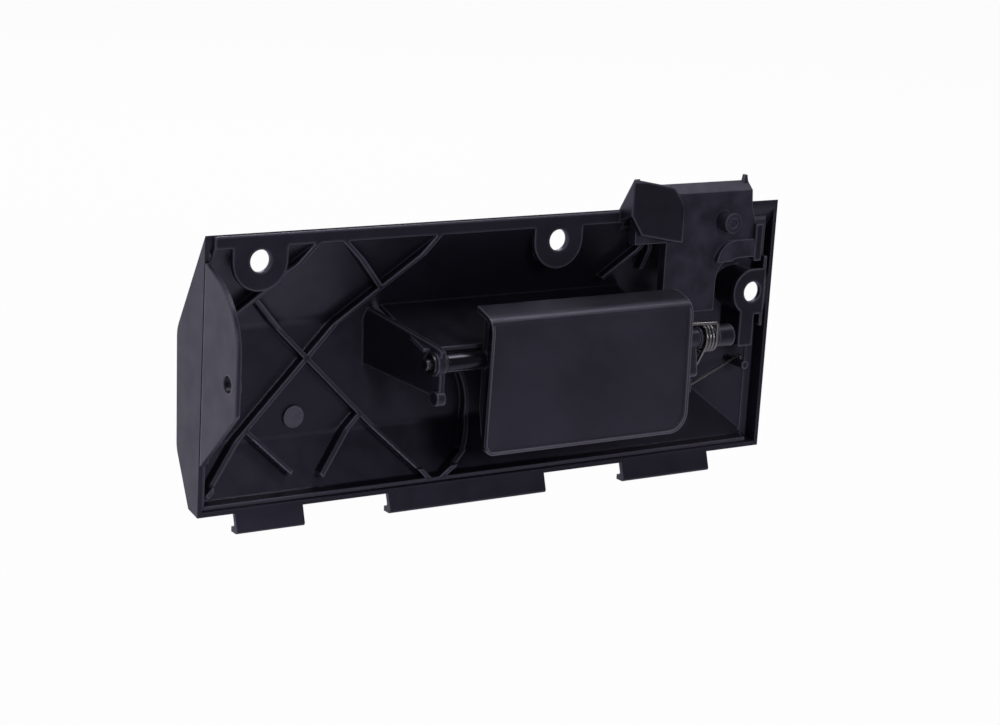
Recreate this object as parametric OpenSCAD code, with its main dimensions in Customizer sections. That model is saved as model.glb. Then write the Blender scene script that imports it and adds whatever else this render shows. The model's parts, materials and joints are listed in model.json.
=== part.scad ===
// Glove compartment lid handle: a front cover, a ribbed rear carrier, a hinged paddle and a latch bolt.
// X runs along the rim, Y runs from the ribbed rear (minus) to the trim front (plus), Z is up.

/* [Panel] */
// Length of the rim
panel_len = 240; // [230:1:250]
// Height of the rim
panel_h = 96.6; // [94:0.2:100]
// Depth of the upper fold of the front face
fold_top_y = 19.2; // [18:0.1:21]
// Height of the upper fold above the middle of the rim
fold_top_z = 12.9; // [10:0.1:15]
// Depth of the lower fold of the front face
fold_low_y = 17.2; // [16:0.1:19]
// Drop of the lower fold below the middle of the rim
fold_low_drop = 28.1; // [25:0.1:31]
// Depth of the front edge of the bottom wall
sill_y = 7; // [6:0.1:9]
// Rise of the bottom wall towards its front edge
sill_rise = 1.3; // [0.5:0.1:2]
// Radius of the folds of the front face
fold_r = 9; // [6:0.5:12]
// Depth of the right end wall
right_wall_y = 7; // [6:0.1:9]
// Run of the slanted face from the right end
bevel_run = 26.4; // [22:0.1:30]
// Wall of the front cover
cover_wall = 1.6; // [1.4:0.1:2]
// Wall of the rear carrier
carrier_wall = 1.3; // [1:0.1:1.6]
// Gap between the cover and the carrier
seam = 0.1; // [0.05:0.05:0.2]
// Distance of the carrier's edge in front of the rim plane
carrier_edge_y = 1.2; // [0.8:0.1:2]
// Width of the groove between the carrier and the right wall
right_groove = 2.4; // [1:0.1:3]

/* [Ribs] */
// Height of the ribs
rib_h = 3.6; // [2.5:0.1:5]
// Thickness of the ribs
rib_t = 1.7; // [1:0.1:2.2]
// Radius of the curved rib beside the finger opening
curved_rib_r = 27; // [24:0.5:30]

/* [Screw ears] */
// Radius of the screw holes
ear_hole_r = 3.9; // [3:0.1:4.5]
// Half width of an upper ear
ear_r = 10.3; // [9.5:0.1:11]
// Thickness of an ear
ear_t = 1.8; // [1.6:0.1:2.2]
// Distance of the upper left hole from the left end
ear_left_inset = 19.9; // [19:0.1:24]
// Distance between the two upper holes
ear_pitch = 119.3; // [115:0.1:121]
// Drop of the upper holes below the top of the rim
ear_drop = 9.4; // [8.5:0.1:11]
// Distance of the right hole from the right end
ear_right_inset = 10; // [9.4:0.1:11]
// Height of the right hole above the middle of the rim
ear_right_z = 13.5; // [12:0.1:15]
// Half width of the right ear
ear_right_r = 8.8; // [8:0.1:9.2]
// Distance of the ears' seat behind the rim
ear_back = 1.4; // [1.2:0.1:2]
// Width of the stem below the right ear
stem_w = 6.6; // [5:0.1:7.5]
// Drop of the stem's lower end below the right hole
stem_drop = 21; // [18:0.1:23]

/* [Left fin] */
// Reach of the fin behind the rim
fin_reach = 25; // [24:0.1:28]
// Thickness of the fin
fin_t = 1.8; // [1.6:0.1:3]
// Height of the fin's top end
fin_top_z = 39.4; // [37:0.1:41]
// Height at which the slanted top line of the fin meets its rear line
fin_shoulder_z = 29.1; // [27:0.1:31]
// Radius of the fin's shoulder
fin_r = 25; // [20:0.5:26]
// Drop of the fin's rear line below the middle of the rim
fin_heel_drop = 6.6; // [5:0.1:8]
// Drop of the fin's lower end below the middle of the rim
fin_low_drop = 30; // [28:0.1:32]
// Radius of the hole that lets the pivot shaft in
fin_hole_r = 2.9; // [2.4:0.1:3.2]

/* [Hinge] */
// Distance of the hinge axis behind the rim
axis_back = 19; // [18:0.1:20]
// Height of the hinge axis above the middle of the rim
axis_z = 2.9; // [2:0.1:4]
// Radius of the pivot shaft
shaft_r = 2; // [1.6:0.05:2.1]
// Radius of the paddle's hinge tube
hub_r = 3.6; // [3.3:0.1:3.8]
// Length of the hinge tube to the left of the paddle
hub_left_run = 14.8; // [12:0.1:16]
// Length of the hinge tube to the right of the paddle
hub_right_run = 7.1; // [6.8:0.1:8]
// Outer radius of the bushes
bush_r = 2.8; // [2.6:0.1:3]
// Radius of the bush flanges
bush_flange_r = 3.8; // [3.4:0.1:4]
// Thickness of the bush flanges
bush_flange_t = 0.8; // [0.6:0.1:1.2]
// Radius of the bearing bosses
boss_r = 4.2; // [4:0.1:4.6]
// Length of the left bearing boss
boss_len = 3.4; // [2.8:0.1:4.5]
// Length of the right bearing boss
right_boss_len = 7.2; // [6:0.1:8]
// Radius of the push-on clip
clip_r = 3.6; // [3.2:0.1:4]
// Thickness of the push-on clip
clip_t = 0.8; // [0.5:0.1:1.2]
// Radial clearance of the shaft in the bushes
running_gap = 0.05; // [0.02:0.01:0.1]
// Clearance of pieces that are pushed onto each other
push_gap = 0.02; // [0.01:0.01:0.05]
// End play between turning and fixed faces
end_gap = 0.3; // [0.2:0.05:0.5]
// Thickness of the bracket and of the bearing arm
bracket_t = 2.2; // [1.8:0.1:2.6]
// Turn of the left bracket in the top view
bracket_turn = 13; // [8:1:16]

/* [Paddle] */
// Distance of the paddle's right edge from the right end
paddle_right_inset = 56.7; // [55:0.1:58]
// Width of the paddle at its top
paddle_w = 86.2; // [84:0.1:88.5]
// Flare of each side edge towards the bottom
paddle_flare = 1; // [0.5:0.1:1.5]
// Height of the paddle's top fold above the hinge axis
paddle_up = 14.9; // [13:0.1:16]
// Drop of the paddle's lower edge below the hinge axis
paddle_down = 33.4; // [31:0.1:35]
// Distance of the paddle's rear face behind the hinge axis
paddle_back = 7; // [6.6:0.1:8]
// Thickness of the paddle
paddle_t = 2.2; // [1.8:0.1:2.6]
// Depth of the paddle's face below its raised border
face_depth = 0.8; // [0.3:0.1:1]
// Width of the raised border
border_w = 1.3; // [1:0.1:2]
// Forward reach of the paddle's top lip
lip_reach = 11.4; // [9:0.1:12]
// Rise of the paddle's top lip
lip_rise = 3.6; // [3:0.1:5]
// Forward reach of the left side cheek
cheek_reach = 7.4; // [6:0.1:8]
// Forward reach of the right side cheek
right_cheek_reach = 4.3; // [4:0.1:6]
// Depth of the side cheeks at their lower end
cheek_low = 5; // [4:0.1:6]
// Thickness of the side cheeks
cheek_t = 1.8; // [1.4:0.1:2.2]
// Swing of the paddle
paddle_swing = 28; // [20:1:30]

/* [Latch] */
// Travel of the latch bolt
bolt_travel = 6; // [4:0.1:7]
// Distance of the bolt's rear face behind the rim
bolt_back = 5.6; // [5.2:0.1:6]
// Thickness of the bolt
bolt_t = 3.9; // [3.6:0.1:4]
// Rise of the bolt above the top of the rim
bolt_rise = 8.7; // [8:0.1:10]
// Size of the ramp on the bolt's top edge
bolt_ramp = 3.2; // [2.5:0.1:3.4]
// Height of the horn at the end of the ramp
horn_h = 2.2; // [1.5:0.1:3]
// Distance of the bolt's hidden left end from the right end
bolt_left_inset = 70; // [68:0.1:71]
// Distance of the bolt's visible left edge from the right end
bolt_edge_inset = 55.8; // [55:0.1:57]
// Distance of the right end of the bolt's head from the right end
bolt_head_inset = 17.5; // [16:0.1:19]
// Distance of the bolt's right edge from the right end
bolt_right_inset = 14.3; // [13.5:0.1:15]
// Distance of the notch's left side from the right end
notch_inset = 31.6; // [31:0.1:32.4]
// Height of the raised brow above the notch
brow_h = 6.5; // [5:0.1:7]
// Rise of the brow behind the bolt, at the edge of the notch
brow_out = 2.8; // [2:0.1:3.5]
// Radius of the peg on the bolt
peg_r = 3.8; // [3:0.1:4]
// Length of the peg behind the bolt
peg_len = 6; // [4:0.1:7]
// Wall of the guide hood over the bolt
hood_wall = 2.5; // [2:0.1:3]
// Gap between sliding faces
slide_gap = 0.35; // [0.3:0.05:0.5]
// Width of the bolt's drive leg
leg_w = 4.2; // [3.4:0.1:4.4]
// Distance of the cam nose from the hinge axis
nose_reach = 12; // [11:0.1:12.5]
// Radius of the cam nose
nose_r = 2.2; // [1.8:0.1:2.4]

/* [Springs] */
// Wire of the paddle's torsion spring
wire_d = 1.2; // [1:0.05:1.3]
// Coils of the torsion spring
coil_turns = 3; // [2:1:3]
// Distance of the torsion spring's fixed end from the right end
anchor_inset = 9; // [8:0.1:11]
// Wire of the bolt's compression spring
bolt_wire_d = 0.9; // [0.7:0.05:1]
// Outer radius of the bolt's compression spring
bolt_spring_r = 3.4; // [3:0.1:3.6]
// Coils of the bolt's compression spring
bolt_spring_turns = 5; // [4:1:6]

/* [Finger opening] */
// Distance of the opening's left side from the paddle's left edge
opening_inset = 26.9; // [25:0.1:28]
// Width of the opening
opening_w = 56; // [50:0.1:58]
// Drop of the opening's lower side below the middle of the rim
opening_drop = 35; // [32:0.1:36]
// Height of the opening
opening_h = 42; // [38:0.1:44]
// Corner radius of the opening
opening_r = 10; // [6:0.1:14]
// Wall of the collar around the opening
collar_wall = 1.6; // [1.2:0.1:2.2]
// Depth of the collar
collar_depth = 13; // [8:0.1:14]

/* [Bottom hooks] */
// Reach of the hooks below the rim
hook_reach = 6.9; // [5:0.1:8]
// Thickness of the hooks
hook_t = 1.9; // [1.5:0.1:2.1]
// Length of the hooks' forward lip
hook_lip = 3; // [2:0.1:4]
// Lean of the hooks to the rear
hook_lean = 2.8; // [2:0.1:3.2]

/* [Hidden] */

$fn = 64;
cut = 1;
far = 60;
arc_fineness = 30;
half_turn = 180;

// Rim and shell
half_len = panel_len / 2;
half_h = panel_h / 2;
tray_in = cover_wall + seam;
tray_mid = tray_in + carrier_wall / 2;
tray_skin = tray_in + carrier_wall;
tray_right_x = half_len - right_groove - tray_in;
right_edge_y = 5.5;
bevel_slope = (fold_top_y - right_wall_y) / bevel_run;

// Bottom hooks as distances of their two ends from the left end
hooks = [[14, 40], [74, 140], [175, 215]];
hook_root_y = 0.1;
hook_round = 1;

// Ribs between two points, each a distance from the left end and a height above the middle of the rim
ribs = [
    [[94, half_h], [4, -42]],
    [[22, 24.5], [92, -45.5]],
    [[16, 18], [46, half_h]],
    [[47.5, half_h], [71, 24.5]],
    [[23, -23], [38, -38]],
    [[68, -21], [49, -40]],
    [[96, -46], [108, -37]],
    [[166, 21], [182, 38]],
    [[182, 38], [182, 24]]
];
curved_rib_run = 11.1;
curved_rib_z = -22;
curved_rib_angles = [-36, 34];

// Heat stakes of the cover, heads on the carrier's inner face
stake_left_inset = 42.8;
stake_right_inset = 44;
stakes = [[stake_left_inset - half_len, -20.8], [half_len - stake_right_inset, -22]];
stake_r = 2;
stake_head_r = 4;
stake_head_t = 0.6;
stake_gap = 0.3;

// Screw ears
ear_left_x = -half_len + ear_left_inset;
ear_mid_x = ear_left_x + ear_pitch;
ear_right_x = half_len - ear_right_inset;
ear_z = half_h - ear_drop;
ear_seat_y = -ear_back;
ear_front_y = ear_seat_y + ear_t;
ear_top_drop = 0.4;
ear_root_h = 27;
flange_low = 4.6;
flange_inset = 3;
window_w = 17;
window_h = 12;
window_r = 5;
window_shift = [2, -2.4];
window_drop = 8;
window_rise = 0.5;
window_run = 2;
rim_strip = 1.6;
stem_left = 4.8;
stem_overlap = 2.3;
skirt_step = 0.3;

// Left fin
fin_heel_r = 1;
fin_root = 1;
fin_groove = 0.6;
fin_boss_r = 4.4;
fin_boss_len = 3;

// Paddle plate
axis_y = -axis_back;
plate_y = axis_y - paddle_back;
plate_front_y = plate_y + paddle_t;
plate_top_z = axis_z + paddle_up;
plate_low_z = axis_z - paddle_down;
lip_y = plate_y + lip_reach;
lip_z = plate_top_z + lip_rise;
paddle_right_x = half_len - paddle_right_inset;
paddle_left_x = paddle_right_x - paddle_w;
paddle_corner_left = 5;
paddle_corner_right = 8;
edge_r = 0.9;
fold_out_r = 6;
fold_in_r = 3.8;
lip_corner_left = 1;
lip_corner_right = 4;
cheek_taper_z = axis_z - 17;
cheek_rise = 4;
cheek_inset = 1;
web_t = 2;
web_half = 12;
web_sink = 0.6;

// Hinge line
hub_left_x = paddle_left_x - hub_left_run;
hub_right_x = paddle_right_x + hub_right_run;
left_boss_x = hub_left_x - end_gap - bush_flange_t;
sleeve_len = 7;
sleeve_r = 4.15;
sleeve_right_x = hub_right_x + push_gap + sleeve_len;
right_boss_x = sleeve_right_x + end_gap + bush_flange_t;
right_boss_end_x = right_boss_x + right_boss_len;
clip_x = left_boss_x - boss_len - end_gap - clip_t;
clip_slots = 6;
clip_slot_w = 0.6;
clip_slot_h = 1.2;
shaft_stub = 2;
shaft_setback = 0.6;
shaft_left_x = clip_x - shaft_stub;
shaft_right_x = right_boss_end_x - shaft_setback;
chamfer = 0.4;

// Left bracket: a slanted side wall with a bulb at its foot
bracket_x = left_boss_x - boss_len / 2;
bracket_root_top = 21;
bracket_root_low = -2;
bracket_tip_y = 3.2;
bracket_tip_top = 8.7;
bracket_tip_low = -8.4;
bracket_shoulder = 1.2;
bulb_y = axis_y - 1.8;
bulb_z = -8.9;
bulb_r = 2.7;
bulb_len = 3.4;

// Sloping shelf above the hinge, with a gusset at its right end
shelf_base_z = 17;
shelf_base_y = 15;
shelf_slope = 0.293;
shelf_end_y = -16.5;
shelf_t = 1.4;
shelf_left_run = 4;
shelf_right_run = 5.3;
gusset_end_y = -13;
gusset_h = 3;
gusset_low_z = 9;

// Stop posts and buffers
buffer_left_run = 25;
buffer_right_run = 23;
buffer_xs = [paddle_left_x + buffer_left_run, paddle_right_x - buffer_right_run];
buffer_w = 7;
buffer_t = 2;
buffer_h = 4.6;
buffer_drop = 1.3;
buffer_y = lip_y + end_gap;
buffer_top_z = lip_z - buffer_drop;
post_drop = 1.7;
post_t = 2.4;

// Cam nose on the paddle, ramp on the bolt's leg
leg_gap = 0.7;
leg_x = paddle_right_x + paddle_flare + leg_gap;
nose_rest = -100;
nose_end = nose_rest + paddle_swing;
nose_from = nose_reach * [cos(nose_rest), sin(nose_rest)];
nose_to = nose_reach * [cos(nose_end), sin(nose_end)] + [0, bolt_travel];
nose_mid_turn = nose_rest + paddle_swing / 2;
nose_mid = nose_reach * [cos(nose_mid_turn), sin(nose_mid_turn)] + [0, bolt_travel / 2];
ramp_dir = (nose_to - nose_from) / norm(nose_to - nose_from);
ramp_out = [ramp_dir[1], -ramp_dir[0]];
ramp_sag = max(0, (nose_mid - nose_from) * ramp_out);
ramp_gap = nose_r + slide_gap + ramp_sag;
ramp_run = 2;
ramp_low = [axis_y, axis_z] + nose_from + ramp_out * ramp_gap - ramp_dir * ramp_run;
ramp_high = [axis_y, axis_z] + nose_to + ramp_out * ramp_gap + ramp_dir * ramp_run;

// Latch bolt
bolt_y = -bolt_back;
bolt_front_y = bolt_y + bolt_t;
bolt_top_z = half_h + bolt_rise;
bolt_low_z = 9;
bolt_wing_z = 36;
bolt_left_x = half_len - bolt_left_inset;
bolt_edge_x = half_len - bolt_edge_inset;
bolt_head_x = half_len - bolt_head_inset;
bolt_right_x = half_len - bolt_right_inset;
shoulder_low_z = half_h - 7.3;
shoulder_top_z = half_h - 0.8;
shoulder_run = 0.8;
shoulder_r = 2;
horn_w = 3;
horn_t = 1.6;
notch_left_x = half_len - notch_inset;
notch_top_z = 28.9;
notch_r = 9;
brow_r = 10;
brow_side = 2.1;
brow_edge = 1.3;
brow_low = 1.2;
leg_t = 4;
leg_top_z = bolt_low_z + 12;
leg_bend_z = bolt_low_z + 4;
leg_back_y = ramp_high[0];
leg_front_y = leg_back_y + leg_t;
leg_low_z = ramp_low[1] - 5;
leg_knee = 5;
peg_inset = 29.8;
peg_drop = 5.4;
peg_x = half_len - peg_inset;
peg_z = half_h - peg_drop;
peg_socket = 1.5;
peg_dimple_r = 1.7;
peg_dimple = 0.8;

// Bearing arm on the right, under the pulled bolt
arm_gap = 1.5;
arm_step_y = bolt_y - arm_gap;
arm_top = bolt_low_z - bolt_travel - arm_gap;
arm_low_y = -4;
arm_low = -8;
arm_root_low = -12;
arm_half = 3;

// Guide hood and right rail
hood_inner_y = bolt_y - slide_gap;
hood_y = hood_inner_y - hood_wall;
hood_left_inset = 74.4;
hood_right_inset = 48.6;
hood_left_x = half_len - hood_left_inset;
hood_right_x = half_len - hood_right_inset;
hood_top_z = half_h + 12.6;
hood_heel_z = half_h - 0.8;
hood_foot_x = hood_left_x + 5.1;
hood_foot_z = half_h - 8.3;
hood_low_z = half_h - 12.6;
hood_shoulder_x = hood_right_x - 7.3;
hood_shoulder_z = half_h + 8.7;
hood_side_x = hood_right_x - 1.3;
hood_side_z = half_h + 1.3;
hood_radii = [0, 0, 1, 1.5, 4, 0];
hood_chamfer = 4.6;
hood_edge_t = 0.3;
rail_w = 1.8;
rail_lip = 1.4;
rail_low_z = 27;
rail_top_z = half_h - 7.3;

// Bolt spring between a lug on the bolt and a ledge on the carrier
lug_z = 15;
lug_t = 2.5;
lug_w = 9;
lug_edge = 0.6;
spring_inset = 42;
spring_x = half_len - spring_inset;
spring_y = 4.6;
ledge_z = -3;
ledge_t = 2;
spigot_h = 2.5;
spigot_r = bolt_spring_r - bolt_wire_d - slide_gap;
spring_gap = 0.05;

// Torsion spring: a coil, a fixed leg that drops from its left end to a knee and runs to the post,
// a moving leg from its right end to the right cheek
coil_gap = 0.35;
coil_r = sleeve_r + coil_gap + wire_d / 2;
coil_pitch = wire_d + 0.25;
knee_front = 5.6;
knee_drop = 20.7;
coil_start_turn = atan2(-knee_drop, knee_front) - acos(coil_r / norm([knee_front, knee_drop]));
coil_end_turn = -half_turn;
coil_sweep = 360 * coil_turns + coil_start_turn - coil_end_turn;
coil_start_x = sleeve_right_x - coil_gap - wire_d / 2 - coil_pitch * coil_sweep / 360;
knee = [coil_start_x - 1, axis_y + knee_front, axis_z - knee_drop];
anchor_x = half_len - anchor_inset;
anchor_z = -12.2;
anchor_back = 4;
anchor_hook = 2.4;
anchor_post_r = 1.6;
anchor_post_reach = 6.4;
grip_y = plate_front_y + 1.4;
grip_z = axis_z + 6.3;
grip_gap = 0.15;
wire_sides = 8;
turn_steps = 18;

// Datum: middle between the two upper screw holes, on the seat of the ears
datum = [(ear_left_x + ear_mid_x) / 2, ear_seat_y, ear_z];

function edge_dir(p, i) = let (a = p[i], b = p[(i + 1) % len(p)]) (b - a) / norm(b - a);

// Moves every side of a counter-clockwise outline inwards
function inset(p, d) = [
    for (i = [0 : len(p) - 1])
        let (u = edge_dir(p, (i + len(p) - 1) % len(p)), v = edge_dir(p, i))
            p[i] + d * (v - u) / cross(u, v)
];

// Depth of the front face between its two folds at a height
function face_y(z) = fold_low_y
    + (z + fold_low_drop) / (fold_top_z + fold_low_drop) * (fold_top_y - fold_low_y);

// Depth of the slanted right face at a place, moved inwards by d
function bevel_y(x, d) = right_wall_y + (half_len - x) * bevel_slope - d * norm([1, bevel_slope]);

// Height of the shelf's top face at a depth
function shelf_z(y) = shelf_base_z + (y - shelf_base_y) * shelf_slope;

function turned(v, a) = [v[0] * cos(a) - v[1] * sin(a), v[0] * sin(a) + v[1] * cos(a)];

// Arc that rounds the corner p between a and b
function corner_arc(a, p, b, r) = let (
    u = (a - p) / norm(a - p),
    v = (b - p) / norm(b - p),
    half = acos(u * v) / 2,
    centre = p + (u + v) / norm(u + v) * r / sin(half),
    start = p + u * r / tan(half) - centre,
    sweep = (cross(-u, v) > 0 ? 1 : -1) * (half_turn - 2 * half),
    steps = max(3, ceil(abs(sweep) * sqrt(r) / arc_fineness))
) [for (i = [0 : steps]) centre + turned(start, sweep * i / steps)];

// Outline with a radius at each corner, 0 for a sharp one
function soften(p, radii) = [
    for (i = [0 : len(p) - 1])
        let (before = p[(i + len(p) - 1) % len(p)], after = p[(i + 1) % len(p)])
            each radii[i] <= 0 ? [p[i]] : corner_arc(before, p[i], after, radii[i])
];

function box_outline(x0, z0, w, h) = [[x0, z0], [x0 + w, z0], [x0 + w, z0 + h], [x0, z0 + h]];

function round_box(x0, z0, w, h, r) = soften(box_outline(x0, z0, w, h), [r, r, r, r]);

// Side view of the shell in Y and Z, moved inwards by d
function side_outline(d) = soften(
    inset([
        [-far, -half_h], [0, -half_h], [sill_y, sill_rise - half_h], [fold_low_y, -fold_low_drop],
        [fold_top_y, fold_top_z], [0, half_h], [-far, half_h]
    ], d),
    [0, 0, 0, fold_r - d, fold_r - d, 0, 0]
);

// Top view of the shell in X and Y, moved inwards by d, open at the given rear plane
function plan_outline(d, rear, groove) = inset([
    [-half_len, rear - d],
    [half_len - groove, rear - d],
    [half_len - groove, right_wall_y + groove * bevel_slope],
    [half_len - bevel_run - cut / bevel_slope, fold_top_y + cut],
    [-half_len, fold_top_y + cut]
], d);

// Extrusions along one axis; the outline is drawn in the other two
module along_x(x0, x1) {
    translate([x0, 0, 0]) rotate([90, 0, 90]) linear_extrude(x1 - x0) children();
}

module along_y(y0, y1) {
    translate([0, y1, 0]) rotate([90, 0, 0]) linear_extrude(y1 - y0) children();
}

module along_z(z0, z1) {
    translate([0, 0, z0]) linear_extrude(z1 - z0) children();
}

module rod_x(x0, x1, r) {
    translate([x0, 0, 0]) rotate([0, 90, 0]) cylinder(h = x1 - x0, r = r);
}

module rod_y(y0, y1, r) {
    translate([0, y1, 0]) rotate([90, 0, 0]) cylinder(h = y1 - y0, r = r);
}

module on_axis() {
    translate([0, axis_y, axis_z]) children();
}

// Solid form of the shell, moved inwards by d
module bowl(d, rear, groove = 0) {
    intersection() {
        along_x(-half_len - cut, half_len + cut) polygon(side_outline(d));
        along_z(-far, far) polygon(plan_outline(d, rear, groove));
    }
}

// Everything above the middle of the upper half of the rim between two places
module upper_slab(x0, x1) {
    translate([x0, -far, half_h / 2]) cube([x1 - x0, 2 * far, half_h]);
}

// Everything within the height of the ribs over the carrier's inner face
module rib_band() {
    difference() {
        union() {
            bowl(tray_mid, carrier_edge_y, right_groove);
            intersection() {
                bowl(tray_mid, ear_seat_y, right_groove);
                upper_slab(flange_inset - half_len, hood_left_x);
            }
        }
        bowl(tray_skin + rib_h, ear_seat_y - cut, right_groove);
    }
}

// Straight wall in X and Z between two points, through the whole depth
module wall_between(a, b, t) {
    turn = atan2(b[1] - a[1], b[0] - a[0]);
    along_y(-far, far) translate(a) rotate(turn) translate([0, -t / 2]) square([norm(b - a), t]);
}

module rib_walls() {
    for (r = ribs)
        wall_between(r[0] - [half_len, 0], r[1] - [half_len, 0], rib_t);
    translate([paddle_left_x - curved_rib_run, 0, curved_rib_z])
        along_y(-far, far)
            difference() {
                circle(r = curved_rib_r);
                circle(r = curved_rib_r - rib_t);
                rotate(curved_rib_angles[1]) translate([-far, 0]) square([2 * far, far]);
                rotate(curved_rib_angles[0]) translate([-far, -far]) square([2 * far, far]);
            }
}

// Clear view through the hole of the right ear
module right_window() {
    along_z(ear_right_z - window_drop, ear_right_z + ear_hole_r + window_rise)
        polygon([
            [ear_right_x - ear_hole_r, ear_front_y], [half_len - right_groove, ear_front_y],
            [half_len - right_groove, rim_strip], [half_len + cut, rim_strip], [half_len + cut, far],
            [ear_right_x + window_run, far], [ear_right_x + window_run, right_wall_y]
        ]);
}

// Access windows in front of the screw ears
module ear_windows() {
    for (x = [ear_left_x, ear_mid_x])
        along_y(ear_front_y, far)
            polygon(round_box(
                x + window_shift[0] - window_w / 2, ear_z + window_shift[1] - window_h / 2,
                window_w, window_h, window_r
            ));
    right_window();
}

module finger_opening(grow) {
    polygon(round_box(
        paddle_left_x + opening_inset - grow, -opening_drop - grow,
        opening_w + 2 * grow, opening_h + 2 * grow, opening_r + grow
    ));
}

// Bottom hook: a plate that leans to the rear, with a lip to the front
module hook(x0, x1) {
    top = sill_rise - half_h;
    low = -half_h - hook_reach;
    foot_y = hook_root_y - hook_lean;
    inner_lean = hook_lean * (top - low - hook_t) / (top - low);
    lip_end = foot_y + hook_t + hook_lip;
    along_x(x0, x1)
        polygon(soften(
            [
                [hook_root_y, top], [foot_y, low], [lip_end, low], [lip_end, low + hook_t],
                [hook_root_y + hook_t - inner_lean, low + hook_t], [hook_root_y + hook_t, top]
            ],
            [0, hook_round, 0, 0, hook_round, 0]
        ));
}

module front_cover() {
    color([0.13, 0.13, 0.15])
        difference() {
            union() {
                difference() {
                    bowl(0, 0);
                    bowl(cover_wall, -cut);
                }
                intersection() {
                    bowl(0, 0);
                    along_y(fold_low_y - collar_depth, far) finger_opening(collar_wall);
                }
                for (p = stakes)
                    translate([p[0], 0, p[1]]) {
                        top_y = face_y(p[1]) - tray_skin - stake_gap;
                        rod_y(top_y, face_y(p[1]) - cover_wall / 2, stake_r);
                        rod_y(top_y - stake_head_t, top_y, stake_head_r);
                    }
                for (h = hooks)
                    hook(h[0] - half_len, h[1] - half_len);
            }
            along_y(-far, far) finger_opening(0);
            ear_windows();
        }
}

// Carrier wall drawn out to the seat of the ears between two places, with a flange on the rim
module top_flange(x0, x1) {
    intersection() {
        difference() {
            bowl(tray_in, ear_seat_y, right_groove);
            bowl(tray_skin, ear_seat_y - cut, right_groove);
        }
        upper_slab(x0, x1);
    }
    along_x(x0, x1)
        polygon(box_outline(
            ear_seat_y, half_h - flange_low, -ear_seat_y - seam, flange_low - ear_top_drop
        ));
}

// Upper ear: a plate with a round lower end
module upper_ear(x) {
    along_y(ear_seat_y, ear_front_y)
        intersection() {
            union() {
                translate([x, ear_z]) circle(r = ear_r);
                translate([x - ear_r, ear_z]) square([2 * ear_r, ear_drop - flange_low]);
            }
            translate([x - ear_r, 0]) square([2 * ear_r, half_h - flange_low]);
        }
}

// Right ear on the carrier's end wall, with a stem below it
module right_ear() {
    stem_x = ear_right_x - stem_left;
    stem_z = ear_right_z - stem_drop;
    difference() {
        union() {
            along_y(ear_seat_y, ear_front_y) {
                intersection() {
                    translate([ear_right_x, ear_right_z]) circle(r = ear_right_r);
                    translate([0, -far]) square([tray_right_x, 2 * far]);
                }
                translate([ear_right_x, ear_right_z - ear_right_r])
                    square([tray_right_x - ear_right_x, 2 * ear_right_r]);
                translate([stem_x, stem_z]) square([stem_w, stem_drop - ear_right_r + stem_overlap]);
            }
            along_x(tray_right_x - carrier_wall, tray_right_x)
                polygon(box_outline(
                    ear_seat_y, ear_right_z - ear_root_h / 2,
                    carrier_edge_y - ear_seat_y + rim_strip, ear_root_h
                ));
            intersection() {
                bowl(tray_mid, ear_seat_y, right_groove);
                union() {
                    for (x = [stem_x, stem_x + stem_w - rib_t])
                        along_x(x, x + rib_t)
                            polygon(box_outline(
                                ear_seat_y, stem_z, far, stem_drop - ear_right_r + stem_overlap
                            ));
                    // Half-round wall under the ear's left side
                    along_y(ear_seat_y, far)
                        difference() {
                            translate([ear_right_x, ear_right_z]) circle(r = ear_right_r - skirt_step);
                            translate([ear_right_x, ear_right_z])
                                circle(r = ear_right_r - skirt_step - rib_t);
                            translate([ear_right_x, -far]) square([far, 2 * far]);
                        }
                }
            }
        }
        right_window();
    }
}

// Fin on the left end, behind the rim
module left_fin() {
    root_h = fin_top_z + fin_low_drop - 2 * fin_root;
    along_x(-half_len, -half_len + fin_t)
        polygon(soften(
            [
                [-fin_groove, fin_top_z], [-fin_reach, fin_shoulder_z], [-fin_reach, -fin_heel_drop],
                [-fin_groove, -fin_low_drop]
            ],
            [0, fin_r, fin_heel_r, 0]
        ));
    along_x(-half_len + tray_in, -half_len + tray_skin)
        polygon(box_outline(-fin_root, fin_root - fin_low_drop, carrier_edge_y + 2 * fin_root, root_h));
    along_x(-half_len + fin_t / 2, -half_len + tray_skin)
        polygon(box_outline(-fin_root - seam, fin_root - fin_low_drop, fin_root, root_h));
    on_axis() rod_x(-half_len + fin_t / 2, -half_len + fin_boss_len, fin_boss_r);
}

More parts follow.
